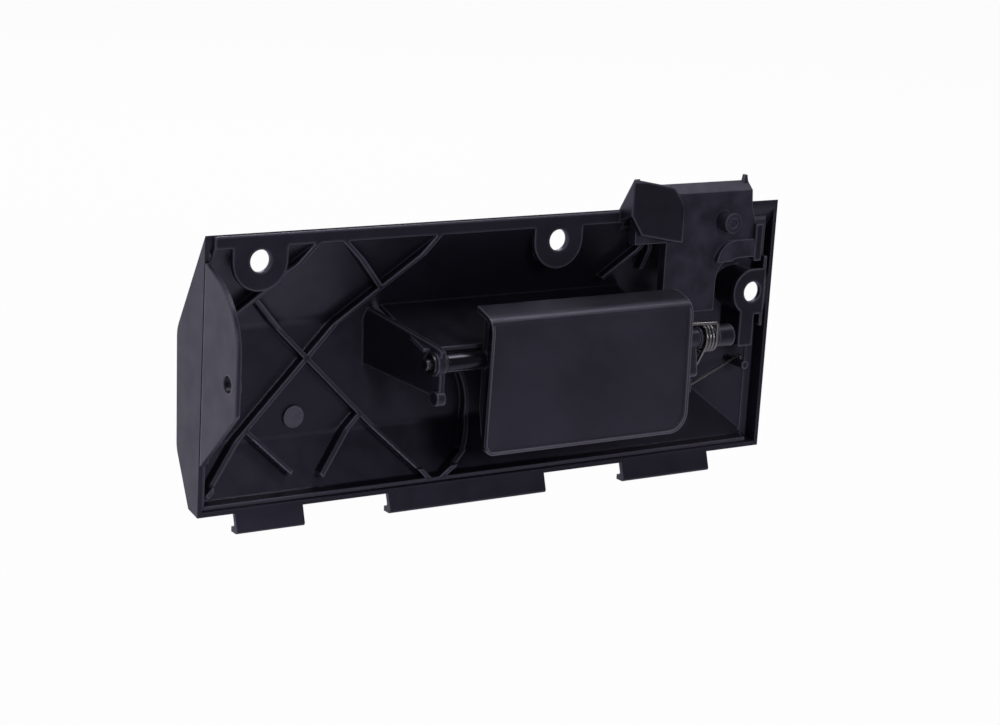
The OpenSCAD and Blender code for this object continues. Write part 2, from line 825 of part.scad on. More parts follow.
// Left bracket of the hinge, with the sloping shelf beside it
module hinge_bracket() {
    shelf_x = paddle_right_x - shelf_right_run;
    intersection() {
        bowl(tray_mid, axis_y - bracket_tip_y - cut);
        translate([bracket_x, axis_y, 0]) rotate([0, 0, bracket_turn])
            along_x(-bracket_t / 2, bracket_t / 2)
                polygon([
                    [far, bracket_root_top], [-bracket_shoulder, bracket_tip_top],
                    [-bracket_tip_y, bracket_tip_top - bracket_shoulder],
                    [-bracket_tip_y, bulb_z + bulb_r / 2],
                    [0, bracket_tip_low], [far, bracket_root_low]
                ]);
    }
    translate([0, bulb_y, bulb_z]) rod_x(bracket_x - bulb_len / 2, bracket_x + bulb_len / 2, bulb_r);
    intersection() {
        bowl(tray_mid, shelf_end_y);
        along_x(bracket_x - shelf_left_run, shelf_x)
            polygon([
                [far, shelf_z(far)], [shelf_end_y, shelf_z(shelf_end_y)],
                [shelf_end_y, shelf_z(shelf_end_y) - shelf_t], [far, shelf_z(far) - shelf_t]
            ]);
    }
    intersection() {
        bowl(tray_mid, gusset_end_y);
        along_x(shelf_x - bracket_t, shelf_x)
            polygon([
                [far, shelf_z(far) - shelf_t / 2], [gusset_end_y, shelf_z(gusset_end_y) - shelf_t / 2],
                [gusset_end_y, shelf_z(gusset_end_y) - shelf_t - gusset_h], [shelf_base_y, gusset_low_z],
                [far, gusset_low_z]
            ]);
    }
    on_axis() rod_x(left_boss_x - boss_len, left_boss_x, boss_r);
}

module right_bearing() {
    intersection() {
        bowl(tray_mid, axis_y - boss_r, right_groove);
        along_x(right_boss_end_x - bracket_t, right_boss_end_x)
            polygon([
                [far, arm_top], [arm_step_y, arm_top],
                [axis_y, axis_z + arm_half], [axis_y, axis_z - arm_half],
                [arm_low_y, arm_low], [far, arm_root_low]
            ]);
    }
    on_axis() rod_x(right_boss_x, right_boss_end_x, boss_r);
}

// Hood over the left wing of the bolt: a rear plate on a left gusset
module guide_hood() {
    intersection() {
        along_y(hood_y, hood_inner_y)
            polygon(soften(
                [
                    [hood_left_x, hood_heel_z], [hood_foot_x, hood_foot_z], [hood_right_x, hood_low_z],
                    [hood_side_x, hood_side_z], [hood_shoulder_x, hood_shoulder_z],
                    [hood_left_x, hood_top_z]
                ],
                hood_radii
            ));
        along_z(0, 2 * far)
            polygon([
                [hood_left_x, hood_y], [hood_right_x - hood_chamfer, hood_y],
                [hood_right_x, hood_inner_y - hood_edge_t], [hood_right_x, hood_inner_y],
                [hood_left_x, hood_inner_y]
            ]);
        along_x(hood_left_x - cut, hood_right_x + cut) polygon(hood_side(0, 0));
    }
    along_x(hood_left_x, hood_left_x + hood_wall) polygon(hood_side(hood_heel_z, half_h - flange_low));
}

// Side view of the hood between the rear plate and the rim, above the given heights at the two
function hood_side(rear_z, rim_z) = [
    [hood_y, rear_z], [-seam, rim_z], [-seam, half_h - ear_top_drop], [hood_y, hood_top_z]
];

// Rail that holds the right edge of the bolt
module right_rail() {
    x0 = bolt_right_x + slide_gap;
    lip_end_y = hood_inner_y - rail_lip;
    intersection() {
        bowl(tray_mid, lip_end_y, right_groove);
        along_z(rail_low_z, rail_top_z)
            polygon([
                [x0, far], [x0, hood_inner_y], [x0 - rail_lip, hood_inner_y], [x0 - rail_lip, lip_end_y],
                [x0 + rail_w, lip_end_y], [x0 + rail_w, far]
            ]);
    }
}

module stop_posts() {
    pad_y = buffer_y + buffer_t;
    foot_y = pad_y + 2 * post_t;
    for (x = buffer_xs)
        along_x(x - buffer_w / 2, x + buffer_w / 2)
            polygon([
                [pad_y, shelf_z(pad_y) - shelf_t / 2], [pad_y, buffer_top_z - post_drop],
                [pad_y + post_t, buffer_top_z - post_drop], [foot_y, shelf_z(foot_y) - shelf_t / 2]
            ]);
}

// Ledge and spigot under the bolt spring
module spring_ledge() {
    intersection() {
        bowl(tray_mid, spring_y - lug_w / 2, right_groove);
        along_z(ledge_z - ledge_t, ledge_z)
            polygon(box_outline(spring_x - lug_w / 2, -far, lug_w, 2 * far));
    }
    translate([spring_x, spring_y, ledge_z - ledge_t / 2])
        cylinder(h = ledge_t / 2 + spigot_h, r = spigot_r);
}

// Post that holds the fixed leg of the torsion spring
module spring_post() {
    anchor_y = bevel_y(anchor_x, tray_skin) - anchor_back;
    translate([anchor_x - anchor_hook, 0, anchor_z - wire_d / 2 - coil_gap - anchor_post_r])
        rod_y(anchor_y - anchor_post_reach, bevel_y(anchor_x, tray_mid), anchor_post_r);
}

module carrier() {
    color([0.1, 0.1, 0.115])
        difference() {
            union() {
                difference() {
                    union() {
                        difference() {
                            bowl(tray_in, carrier_edge_y, right_groove);
                            bowl(tray_skin, -cut, right_groove);
                        }
                        top_flange(flange_inset - half_len, hood_left_x + hood_wall);
                        intersection() {
                            rib_band();
                            rib_walls();
                        }
                    }
                    ear_windows();
                }
                upper_ear(ear_left_x);
                upper_ear(ear_mid_x);
                right_ear();
                left_fin();
                hinge_bracket();
                right_bearing();
                guide_hood();
                right_rail();
                stop_posts();
                spring_ledge();
                spring_post();
            }
            along_y(-far, far) finger_opening(collar_wall + seam);
            // Low edge of the right wall below the ear
            translate([tray_right_x - carrier_wall - seam, -far, -far])
                cube([carrier_wall + cut, far + right_edge_y, far + ear_right_z - ear_root_h / 2]);
            for (p = [[ear_left_x, ear_z], [ear_mid_x, ear_z], [ear_right_x, ear_right_z]])
                translate([p[0], 0, p[1]]) rod_y(ear_seat_y - cut, ear_front_y + cut, ear_hole_r);
            on_axis() {
                rod_x(-half_len - cut, -half_len + fin_boss_len + cut, fin_hole_r);
                rod_x(left_boss_x - boss_len - cut, left_boss_x + cut, bush_r + push_gap);
                rod_x(right_boss_x - cut, right_boss_end_x + cut, bush_r + push_gap);
                // Free faces for the clip and the bush flange
                rod_x(left_boss_x, hub_left_x, boss_r + slide_gap);
                rod_x(shaft_left_x, left_boss_x - boss_len, boss_r + slide_gap);
            }
            for (p = stakes)
                translate([p[0], 0, p[1]]) rod_y(-far, far, stake_r + seam);
        }
}

// Side cheek of the paddle between its given low end and front edge
module cheek(x, low_z, front_y) {
    along_x(x, x + cheek_t)
        polygon([
            [plate_y + edge_r, low_z], [plate_y + cheek_low, low_z + cheek_rise],
            [front_y, cheek_taper_z], [front_y, lip_z - paddle_t],
            [plate_front_y, plate_top_z - paddle_t / 2], [plate_y + edge_r, plate_top_z - paddle_t]
        ]);
}

// Front view of the paddle, moved inwards by d, up to the given height
function paddle_outline(d, top_z) = soften(
    inset([
        [paddle_left_x - paddle_flare, plate_low_z], [paddle_right_x + paddle_flare, plate_low_z],
        [paddle_right_x, plate_top_z], [paddle_right_x, top_z + d],
        [paddle_left_x, top_z + d], [paddle_left_x, plate_top_z]
    ], d),
    [paddle_corner_left - d, paddle_corner_right - d, 0, 0, 0, 0]
);

module paddle() {
    color([0.15, 0.15, 0.17])
        difference() {
            union() {
                // Plate with its top lip
                intersection() {
                    along_x(-far, 2 * far)
                        polygon(soften(
                            [
                                [plate_y, plate_low_z], [plate_front_y, plate_low_z],
                                [plate_front_y, plate_top_z - paddle_t / 2], [lip_y, lip_z - paddle_t],
                                [lip_y, lip_z], [plate_y, plate_top_z]
                            ],
                            [edge_r, edge_r, fold_in_r, edge_r, edge_r, fold_out_r]
                        ));
                    along_y(-far, 0) polygon(paddle_outline(0, lip_z + cut));
                    along_z(-far, far)
                        polygon(soften(
                            [
                                [paddle_left_x - far, plate_y - cut],
                                [paddle_right_x + far, plate_y - cut],
                                [paddle_right_x + far, plate_front_y], [paddle_right_x, plate_front_y],
                                [paddle_right_x, lip_y], [paddle_left_x, lip_y],
                                [paddle_left_x, plate_front_y], [paddle_left_x - far, plate_front_y]
                            ],
                            [0, 0, 0, 0, lip_corner_right, lip_corner_left, 0, 0]
                        ));
                }
                cheek(paddle_left_x + cheek_inset, plate_low_z + edge_r, plate_y + cheek_reach);
                cheek(
                    paddle_right_x - cheek_t, plate_low_z + paddle_corner_right + edge_r,
                    plate_y + right_cheek_reach
                );
                on_axis() rod_x(hub_left_x, hub_right_x, hub_r);
                // Webs between the plate and the hinge tube
                for (x = [paddle_left_x + paddle_w / 3, paddle_left_x + 2 * paddle_w / 3])
                    along_x(x, x + web_t)
                        polygon([
                            [plate_y + paddle_t / 2, axis_z - web_half],
                            [axis_y, axis_z - hub_r + web_sink], [axis_y, axis_z + hub_r - web_sink],
                            [plate_y + paddle_t / 2, axis_z + web_half]
                        ]);
                // Cam arm with its round nose
                on_axis()
                    along_x(leg_x, leg_x + leg_w) {
                        rotate(nose_rest) translate([0, -nose_r]) square([nose_reach, 2 * nose_r]);
                        translate(nose_from) circle(r = nose_r);
                    }
            }
            on_axis() rod_x(hub_left_x - cut, hub_right_x + cut, shaft_r + push_gap);
            // Face inside the raised border
            along_y(plate_y - cut, plate_y + face_depth)
                polygon(paddle_outline(border_w, lip_z));
            // Hole for the moving leg of the torsion spring
            translate([0, grip_y, grip_z])
                rod_x(paddle_right_x - cheek_t - cut, paddle_right_x + cut, wire_d / 2 + grip_gap);
        }
}

module pivot_shaft() {
    color([0.62, 0.63, 0.64])
        on_axis() {
            rod_x(shaft_left_x + chamfer, shaft_right_x - chamfer, shaft_r);
            translate([shaft_left_x, 0, 0]) rotate([0, 90, 0])
                cylinder(h = chamfer, r1 = shaft_r - chamfer, r2 = shaft_r);
            translate([shaft_right_x - chamfer, 0, 0]) rotate([0, 90, 0])
                cylinder(h = chamfer, r1 = shaft_r, r2 = shaft_r - chamfer);
        }
}

// Push-on clip with radial slots around its bore
module shaft_clip() {
    color([0.55, 0.56, 0.58])
        on_axis()
            difference() {
                rod_x(clip_x, clip_x + clip_t, clip_r);
                rod_x(clip_x - cut, clip_x + clip_t + cut, shaft_r + push_gap);
                for (i = [1 : clip_slots])
                    rotate([360 * i / clip_slots, 0, 0])
                        translate([clip_x - cut, -clip_slot_w / 2, shaft_r - chamfer])
                            cube([clip_t + 2 * cut, clip_slot_w, clip_slot_h]);
            }
}

// Flanged bush whose flange sits on the face of a boss
module bush(face_x, length, side) {
    body_end = face_x + side * length;
    flange_end = face_x - side * bush_flange_t;
    color([0.82, 0.8, 0.74])
        on_axis()
            difference() {
                union() {
                    rod_x(min(face_x, body_end), max(face_x, body_end), bush_r);
                    rod_x(min(face_x, flange_end), max(face_x, flange_end), bush_flange_r);
                }
                rod_x(face_x - far, face_x + far, shaft_r + running_gap);
            }
}

module left_bush() {
    bush(left_boss_x, boss_len, -1);
}

module right_bush() {
    bush(right_boss_x, right_boss_len, 1);
}

module spring_sleeve() {
    color([0.12, 0.12, 0.13])
        on_axis()
            difference() {
                rod_x(hub_right_x + push_gap, sleeve_right_x, sleeve_r);
                rod_x(hub_right_x, sleeve_right_x + cut, shaft_r + push_gap);
            }
}

// Part of a vector across a direction, at length 1
function across(v, along) = let (side = v - (v * along) * along) side / norm(side);

// Closed tube of round wire through a list of points
module wire_tube(points, d) {
    n = len(points);
    ahead = [
        for (i = [0 : n - 1])
            let (run = points[min(i + 1, n - 1)] - points[max(i - 1, 0)])
            run / norm(run)
    ];
    // Side direction of each ring, carried along from the ring before it
    sides = [
        for (
            i = 0, u = across([1, 0, 0], ahead[0]);
            i < n;
            i = i + 1, u = across(u, ahead[min(i, n - 1)])
        ) u
    ];
    rings = [
        for (i = [0 : n - 1])
            let (u = sides[i], v = cross(ahead[i], u))
            [
                for (k = [0 : wire_sides - 1])
                    let (a = 360 * k / wire_sides)
                    points[i] + d / 2 * (u * cos(a) + v * sin(a))
            ]
    ];
    polyhedron(
        points = [for (ring = rings) each ring],
        faces = concat(
            [[for (k = [wire_sides - 1 : -1 : 0]) k]],
            [[for (k = [0 : wire_sides - 1]) (n - 1) * wire_sides + k]],
            [
                for (i = [0 : n - 2])
                    for (k = [0 : wire_sides - 1])
                        let (m = (k + 1) % wire_sides, near = i * wire_sides, next = near + wire_sides)
                        [near + k, near + m, next + m, next + k]
            ]
        )
    );
}

module return_spring() {
    steps = round(turn_steps * coil_sweep / 360);
    coil = [
        for (i = [0 : steps])
            let (a = coil_start_turn - coil_sweep * i / steps)
            [
                coil_start_x + coil_pitch * coil_sweep / 360 * i / steps,
                axis_y + coil_r * cos(a),
                axis_z + coil_r * sin(a)
            ]
    ];
    anchor = [anchor_x, bevel_y(anchor_x, tray_skin) - anchor_back, anchor_z];
    grip_end = [paddle_right_x - cheek_t - grip_gap, grip_y, grip_z];
    grip_bend = [paddle_right_x + paddle_flare + coil_gap, grip_y, grip_z];
    color([0.75, 0.76, 0.77])
        wire_tube(
            concat(
                [anchor - [0, 0, anchor_hook], anchor, knee, (knee + coil[0]) / 2],
                coil,
                [coil[steps] + [0, 0, grip_z - axis_z], grip_bend, grip_end]
            ),
            wire_d
        );
}

// Notch that clears the right ear, grown up by one amount and to the left by another
module notch_outline(up, left, r) {
    x = notch_left_x - left;
    z = bolt_low_z - cut;
    polygon(soften(
        box_outline(x, z, bolt_right_x + cut - x, notch_top_z + up - z),
        [0, 0, 0, r]
    ));
}

module latch_bolt() {
    color([0.16, 0.16, 0.18])
        difference() {
            union() {
                // Plate with the ramp along its top edge
                intersection() {
                    along_y(bolt_y, bolt_front_y)
                        polygon(soften(
                            [
                                [bolt_edge_x, bolt_low_z], [bolt_right_x, bolt_low_z],
                                [bolt_right_x, shoulder_low_z],
                                [bolt_head_x + shoulder_run, shoulder_top_z],
                                [bolt_head_x, bolt_top_z], [bolt_left_x, bolt_top_z],
                                [bolt_left_x, bolt_wing_z], [bolt_edge_x, bolt_wing_z]
                            ],
                            [0, 0, shoulder_r, shoulder_r, 0, 0, 0, 0]
                        ));
                    along_x(-far, 2 * far)
                        polygon([
                            [bolt_y, -far], [bolt_front_y, -far], [bolt_front_y, bolt_top_z],
                            [bolt_y + bolt_ramp, bolt_top_z], [bolt_y, bolt_top_z - bolt_ramp]
                        ]);
                }
                // Horn at the end of the ramp
                along_y(bolt_front_y - horn_t, bolt_front_y)
                    polygon([
                        [bolt_head_x - horn_w, bolt_top_z - horn_h], [bolt_head_x, bolt_top_z - horn_h],
                        [bolt_head_x - horn_w / 3, bolt_top_z + horn_h],
                        [bolt_head_x - 2 * horn_w / 3, bolt_top_z + horn_h]
                    ]);
                // Drive leg with its ramp
                along_x(leg_x, leg_x + leg_w)
                    polygon([
                        [bolt_front_y, leg_top_z], [bolt_y, leg_top_z], [bolt_y, leg_bend_z],
                        [leg_back_y, bolt_low_z - cut], ramp_high, ramp_low, [ramp_low[0], leg_low_z],
                        [leg_front_y, leg_low_z], [leg_front_y, bolt_low_z - leg_knee],
                        [bolt_front_y, bolt_low_z + cut]
                    ]);
                // Lug over the bolt spring
                along_z(lug_z, lug_z + lug_t)
                    polygon(box_outline(
                        spring_x - lug_w / 2, bolt_front_y - cut,
                        lug_w, spring_y + bolt_spring_r + lug_edge - bolt_front_y + cut
                    ));
                translate([spring_x, spring_y, lug_z - spigot_h])
                    cylinder(h = spigot_h + cut, r = spigot_r);
                // Brow around the top of the notch, higher towards it
                intersection() {
                    along_y(bolt_y - brow_out, bolt_y + cut) notch_outline(brow_h, brow_side, brow_r);
                    along_x(notch_left_x - brow_side, bolt_right_x - rail_lip)
                        polygon([
                            [bolt_y + cut, notch_top_z - brow_low],
                            [bolt_y - brow_out, notch_top_z - brow_low],
                            [bolt_y - brow_edge, notch_top_z + brow_h],
                            [bolt_y + cut, notch_top_z + brow_h]
                        ]);
                }
            }
            along_y(bolt_y - brow_out - cut, bolt_front_y + cut) notch_outline(0, 0, notch_r);
            // Socket of the peg
            translate([peg_x, 0, peg_z])
                rod_y(bolt_y - cut, bolt_y + peg_socket + push_gap, peg_r + push_gap);
        }
}

// Peg with a shallow dimple in its end
module bolt_peg() {
    end_y = bolt_y - peg_len;
    color([0.5, 0.5, 0.52])
        translate([peg_x, 0, peg_z])
            difference() {
                rod_y(end_y, bolt_y + peg_socket, peg_r);
                rod_y(end_y - cut, end_y + peg_dimple, peg_dimple_r);
            }
}

module bolt_spring() {
    low_z = ledge_z + spring_gap + bolt_wire_d / 2;
    high_z = lug_z - spring_gap - bolt_wire_d / 2;
    mean_r = bolt_spring_r - bolt_wire_d / 2;
    steps = turn_steps * bolt_spring_turns;
    color([0.75, 0.76, 0.77])
        wire_tube([
            for (i = [0 : steps])
                let (a = 360 * i / turn_steps)
                [
                    spring_x + mean_r * cos(a),
                    spring_y + mean_r * sin(a),
                    low_z + (high_z - low_z) * i / steps
                ]
        ], bolt_wire_d);
}

module stop_buffers() {
    color([0.06, 0.06, 0.06])
        for (x = buffer_xs)
            along_x(x - buffer_w / 2, x + buffer_w / 2)
                polygon(box_outline(buffer_y, buffer_top_z - buffer_h, buffer_t, buffer_h));
}

module placed() {
    translate(-datum) children();
}

placed() front_cover();
placed() carrier();
placed() paddle();
placed() pivot_shaft();
placed() shaft_clip();
placed() left_bush();
placed() right_bush();
placed() spring_sleeve();
placed() return_spring();
placed() latch_bolt();
placed() bolt_peg();
placed() bolt_spring();
placed() stop_buffers();
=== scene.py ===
"""Looks, light and camera for a glove compartment lid handle, seen from its ribbed rear side."""

import json
import math

import bpy
from mathutils import Matrix, Vector


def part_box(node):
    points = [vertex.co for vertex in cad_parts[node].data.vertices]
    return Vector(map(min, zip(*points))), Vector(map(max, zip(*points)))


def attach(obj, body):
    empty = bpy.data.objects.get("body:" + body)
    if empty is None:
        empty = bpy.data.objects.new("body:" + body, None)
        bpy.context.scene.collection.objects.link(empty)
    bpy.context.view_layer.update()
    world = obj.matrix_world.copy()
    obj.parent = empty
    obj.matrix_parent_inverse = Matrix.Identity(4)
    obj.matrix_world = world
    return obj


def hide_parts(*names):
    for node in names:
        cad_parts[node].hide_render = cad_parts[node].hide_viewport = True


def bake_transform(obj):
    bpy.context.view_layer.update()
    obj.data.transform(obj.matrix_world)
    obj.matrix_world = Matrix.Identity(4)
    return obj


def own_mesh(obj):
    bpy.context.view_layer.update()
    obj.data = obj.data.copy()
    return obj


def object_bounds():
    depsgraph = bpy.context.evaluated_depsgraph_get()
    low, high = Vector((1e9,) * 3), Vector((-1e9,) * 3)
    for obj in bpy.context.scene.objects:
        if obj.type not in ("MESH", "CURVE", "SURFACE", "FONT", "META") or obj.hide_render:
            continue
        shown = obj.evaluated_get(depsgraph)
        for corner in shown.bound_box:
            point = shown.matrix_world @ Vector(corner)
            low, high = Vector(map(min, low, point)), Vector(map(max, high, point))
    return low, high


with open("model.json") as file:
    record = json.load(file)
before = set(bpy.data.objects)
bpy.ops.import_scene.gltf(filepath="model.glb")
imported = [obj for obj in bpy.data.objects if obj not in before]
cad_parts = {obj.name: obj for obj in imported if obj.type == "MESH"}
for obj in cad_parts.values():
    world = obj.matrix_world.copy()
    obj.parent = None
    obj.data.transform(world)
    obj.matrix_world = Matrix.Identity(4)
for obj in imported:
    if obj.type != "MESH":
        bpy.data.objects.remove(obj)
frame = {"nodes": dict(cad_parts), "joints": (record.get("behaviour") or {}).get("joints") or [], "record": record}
cad_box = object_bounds()
nodes = frame["nodes"]
joints = {joint["name"]: joint for joint in frame["joints"]}
mm = 0.001

# Places read from the frame
cover_low, cover_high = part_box("front_cover")
rim_half_height = 48.3 * mm
rim_middle = Vector(((cover_low.x + cover_high.x) / 2, cover_low.y, cover_high.z - rim_half_height))
hinge = Vector(joints["paddle_swing"]["pos_m"])

# Materials
noise_low, noise_high = 0.3, 0.7
violet_tint = (0.82, 0.77, 1, 1)


def new_material(name):
    material = bpy.data.materials.new(name)
    material.use_nodes = True
    tree = material.node_tree
    return material, tree, tree.nodes["Principled BSDF"]


def shaded(colour, factor):
    return [channel * factor for channel in colour]


def noise(tree, scale, detail=2.0, roughness=0.5):
    place = tree.nodes.new("ShaderNodeTexCoord")
    texture = tree.nodes.new("ShaderNodeTexNoise")
    texture.inputs["Scale"].default_value = scale
    texture.inputs["Detail"].default_value = detail
    texture.inputs["Roughness"].default_value = roughness
    tree.links.new(place.outputs["Object"], texture.inputs["Vector"])
    return texture.outputs["Fac"]


def ramp(tree, source, low, high):
    """Colour ramp between two colours over the middle of a noise."""
    steps = tree.nodes.new("ShaderNodeValToRGB")
    steps.color_ramp.elements[0].position = noise_low
    steps.color_ramp.elements[1].position = noise_high
    steps.color_ramp.elements[0].color = (*low, 1)
    steps.color_ramp.elements[1].color = (*high, 1)
    tree.links.new(source, steps.inputs["Fac"])
    return steps.outputs["Color"]


def map_range(tree, value, start, end, low=0.0, high=1.0):
    """Maps a value between start and end onto low to high."""
    mapped = tree.nodes.new("ShaderNodeMapRange")
    mapped.inputs["From Min"].default_value = start
    mapped.inputs["From Max"].default_value = end
    mapped.inputs["To Min"].default_value = low
    mapped.inputs["To Max"].default_value = high
    tree.links.new(value, mapped.inputs["Value"])
    return mapped.outputs["Result"]


def put(tree, socket, value):
    """Links another socket to this one, or sets it to a plain number or colour."""
    if isinstance(value, bpy.types.NodeSocket):
        tree.links.new(value, socket)
    else:
        socket.default_value = value


def mix_colour(tree, share, first, second):
    """Colour between two others, each a socket or a plain colour."""
    mix = tree.nodes.new("ShaderNodeMixRGB")
    put(tree, mix.inputs["Fac"], share)
    put(tree, mix.inputs["Color1"], first)
    put(tree, mix.inputs["Color2"], second)
    return mix.outputs["Color"]


def calculate(tree, operation, first, second):
    """Result of a calculation with two values, each a socket or a number."""
    node = tree.nodes.new("ShaderNodeMath")
    node.operation = operation
    put(tree, node.inputs[0], first)
    put(tree, node.inputs[1], second)
    return node.outputs[0]


def feeding_socket(shader, name):
    """Socket that feeds one of the shader's inputs."""
    return shader.inputs[name].links[0].from_socket


def plastic(
    name, colour, wear_and_highlight_colour, edge, grain, grain_depth, roughness=0.4, specular=0.5, mottle=0.14, blotches=55,
):
    """Moulded plastic: uneven colour and gloss over a fine grain, with rounded edges painted in a lighter colour
    as a highlight.

    edge is how wide the rounding and the painted edge highlight are, and grain and blotches are scales of noise.
    """
    face_openness, edge_openness = 0.95, 0.6
    gloss_scale, gloss_spread = 130, 0.05
    grain_strength, grain_roughness = 0.35, 0.6
    material, tree, shader = new_material(name)
    darker, lighter = shaded(colour, 1 - mottle), shaded(colour, 1 + mottle)
    moulded = ramp(tree, noise(tree, blotches, detail=3), darker, lighter)
    # Painted highlight: convex edges, found by occlusion inside the piece, take the lighter edge colour
    inside = tree.nodes.new("ShaderNodeAmbientOcclusion")
    inside.inside = True
    inside.only_local = True
    inside.samples = 8
    inside.inputs["Distance"].default_value = edge
    highlight_edge = map_range(tree, inside.outputs["AO"], face_openness, edge_openness)
    tree.links.new(mix_colour(tree, highlight_edge, moulded, (*wear_and_highlight_colour, 1)), shader.inputs["Base Color"])
    smoothest, roughest = roughness - gloss_spread, roughness + gloss_spread
    gloss = map_range(tree, noise(tree, gloss_scale), noise_low, noise_high, smoothest, roughest)
    tree.links.new(gloss, shader.inputs["Roughness"])
    shader.inputs["Specular IOR Level"].default_value = specular
    shader.inputs["Specular Tint"].default_value = violet_tint
    bump = tree.nodes.new("ShaderNodeBump")
    bump.inputs["Strength"].default_value = grain_strength
    bump.inputs["Distance"].default_value = grain_depth
    tree.links.new(noise(tree, grain, roughness=grain_roughness), bump.inputs["Height"])
    rounding = tree.nodes.new("ShaderNodeBevel")
    rounding.samples = 6
    rounding.inputs["Radius"].default_value = edge
    tree.links.new(rounding.outputs["Normal"], bump.inputs["Normal"])
    tree.links.new(bump.outputs["Normal"], shader.inputs["Normal"])
    return material


def metal(name, colour, roughness, scratch):
    """Drawn steel with a faint uneven sheen, where scratch is a scale of noise."""
    dark_share = 0.88
    smoothest, roughest = roughness - 0.06, roughness + 0.08
    material, tree, shader = new_material(name)
    uneven = noise(tree, scratch, detail=3)
    tree.links.new(ramp(tree, uneven, shaded(colour, dark_share), colour), shader.inputs["Base Color"])
    gloss = map_range(tree, uneven, noise_low, noise_high, smoothest, roughest)
    tree.links.new(gloss, shader.inputs["Roughness"])
    shader.inputs["Metallic"].default_value = 1.0
    return material


def scuffed(material, places, reach, colour):
    """Lighter, worn colour within reach of the given places."""
    scuff_scale, dark_share, full_share = 700, 0.75, 0.96
    tree = material.node_tree
    shader = tree.nodes["Principled BSDF"]
    moulded = feeding_socket(shader, "Base Color")
    here = tree.nodes.new("ShaderNodeTexCoord")
    gaps = []
    for place in places:
        gap = tree.nodes.new("ShaderNodeVectorMath")
        gap.operation = "DISTANCE"
        gap.inputs[1].default_value = place
        tree.links.new(here.outputs["Object"], gap.inputs[0])
        gaps.append(gap.outputs["Value"])
    nearest = gaps[0]
    for gap in gaps[1:]:
        nearest = calculate(tree, "MINIMUM", nearest, gap)
    inside = map_range(tree, nearest, reach, reach * full_share)
    wear_and_highlight_colour = ramp(tree, noise(tree, scuff_scale, detail=3), shaded(colour, dark_share), colour)
    tree.links.new(mix_colour(tree, inside, moulded, wear_and_highlight_colour), shader.inputs["Base Color"])


def painted_shade_left_of(material, left_of, colour, roughness):
    """Painted shade: darker, and smoother, to the left of a place along X."""
    tree = material.node_tree
    shader = tree.nodes["Principled BSDF"]
    here = tree.nodes.new("ShaderNodeTexCoord")
    coordinates = tree.nodes.new("ShaderNodeSeparateXYZ")
    tree.links.new(here.outputs["Object"], coordinates.inputs["Vector"])
    on_left = calculate(tree, "LESS_THAN", coordinates.outputs["X"], left_of)
    for name, value in (("Base Color", colour), ("Roughness", (roughness,) * 3)):
        mixed = mix_colour(tree, on_left, feeding_socket(shader, name), (*value, 1))
        tree.links.new(mixed, shader.inputs[name])


# The second colour of each plastic is a painted highlight along its convex edges
black_edge_highlight = (0.075, 0.07, 0.09)
plastics = {
    "cover_plastic": dict(
        colour=(0.0085, 0.0077, 0.0125), wear_and_highlight_colour=(0.02, 0.018, 0.026), edge=0.35 * mm,
        grain=1500, grain_depth=0.04 * mm, specular=0.42,
    ),
    "carrier_plastic": dict(
        colour=(0.0055, 0.005, 0.008), wear_and_highlight_colour=(0.055, 0.051, 0.066), edge=1 * mm,
        grain=1700, grain_depth=0.04 * mm,
    ),
    "paddle_plastic": dict(
        colour=(0.0165, 0.0153, 0.021), wear_and_highlight_colour=(0.1, 0.095, 0.11), edge=0.8 * mm,
        grain=2600, grain_depth=0.02 * mm, roughness=0.35, mottle=0.3, blotches=30,
    ),
    "bolt_plastic": dict(
        colour=(0.018, 0.0165, 0.024), wear_and_highlight_colour=black_edge_highlight, edge=0.5 * mm,
        grain=1600, grain_depth=0.04 * mm, mottle=0.45, blotches=170,
    ),
    "bush_plastic": dict(
        colour=(0.01, 0.01, 0.013), wear_and_highlight_colour=black_edge_highlight, edge=0.3 * mm,
        grain=2000, grain_depth=0.03 * mm, roughness=0.35,
    ),
    "rubber": dict(
        colour=(0.008, 0.008, 0.008), wear_and_highlight_colour=(0.01, 0.01, 0.01), edge=0.3 * mm,
        grain=1800, grain_depth=0.06 * mm, roughness=0.7, specular=0.3,
    ),
}
metals = {
    "steel": dict(colour=(0.08, 0.08, 0.084), roughness=0.36, scratch=900),
    "spring_steel": dict(colour=(0.21, 0.207, 0.2), roughness=0.28, scratch=1200),
}
looks = {name: plastic(name, **look) for name, look in plastics.items()}
looks.update({name: metal(name, **look) for name, look in metals.items()})

# Rubbed heads of the cover's two heat stakes
stake_offsets = ((-77.2, 14.29, -20.78), (76, 14.09, -21.98))
stake_heads = [rim_middle + Vector(offset) * mm for offset in stake_offsets]
scuffed(looks["cover_plastic"], stake_heads, reach=4.4 * mm, colour=(0.07, 0.067, 0.08))

# Hinge tube, to the left of the paddle's plate: smoother, with painted shade as a darker colour
tube_run = 14.8 * mm
paddle_low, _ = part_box("paddle")
painted_shade_left_of(looks["paddle_plastic"], paddle_low.x + tube_run, colour=(0.003, 0.0028, 0.004), roughness=0.2)

slots = {part["node"]: part["material_slot"] for part in frame["record"]["subparts"]}


def dress(obj, slot_name):
    obj.data.materials.clear()
    obj.data.materials.append(looks[slot_name])


for name, node in nodes.items():
    dress(node, slots[name])


